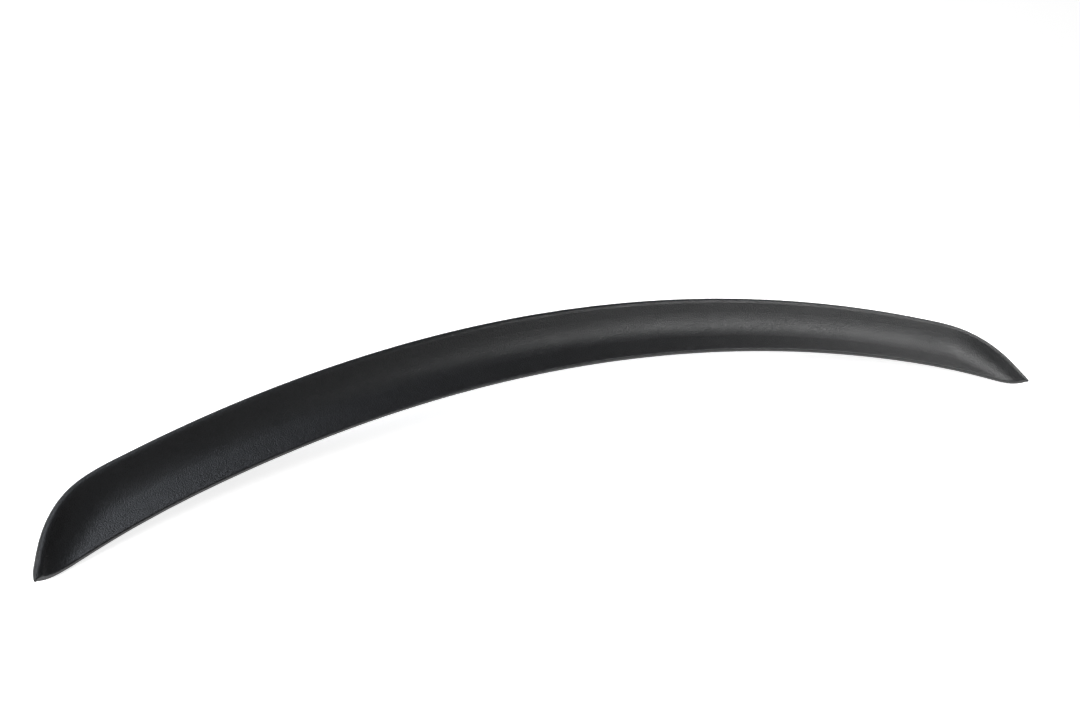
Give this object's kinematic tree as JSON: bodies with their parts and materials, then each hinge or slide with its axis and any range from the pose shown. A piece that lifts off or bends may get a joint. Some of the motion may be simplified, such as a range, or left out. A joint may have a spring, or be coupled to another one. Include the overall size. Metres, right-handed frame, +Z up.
{
  "type": "boot lip spoiler",
  "caption": "Long crescent-shaped boot-lid lip spoiler: a thin formed shell with a flat bonding land, a concave ramp up to a rolled rim, and pointed tips where the lip wraps round both ends.",
  "frame": {"origin": "middle of the bonding land's underside at mid-span, on the boot lid's surface", "axes": "+X across the car, tip to tip; +Y to the rear of the car; +Z up, away from the boot lid"},
  "size_m": [1.1996, 0.1699, 0.0884],
  "materials": {
    "abs_sheet": "fine pebble grain, satin black"
  },
  "bodies": {
    "root": {"spoiler_shell": "abs_sheet"}
  },
  "joints": []
}
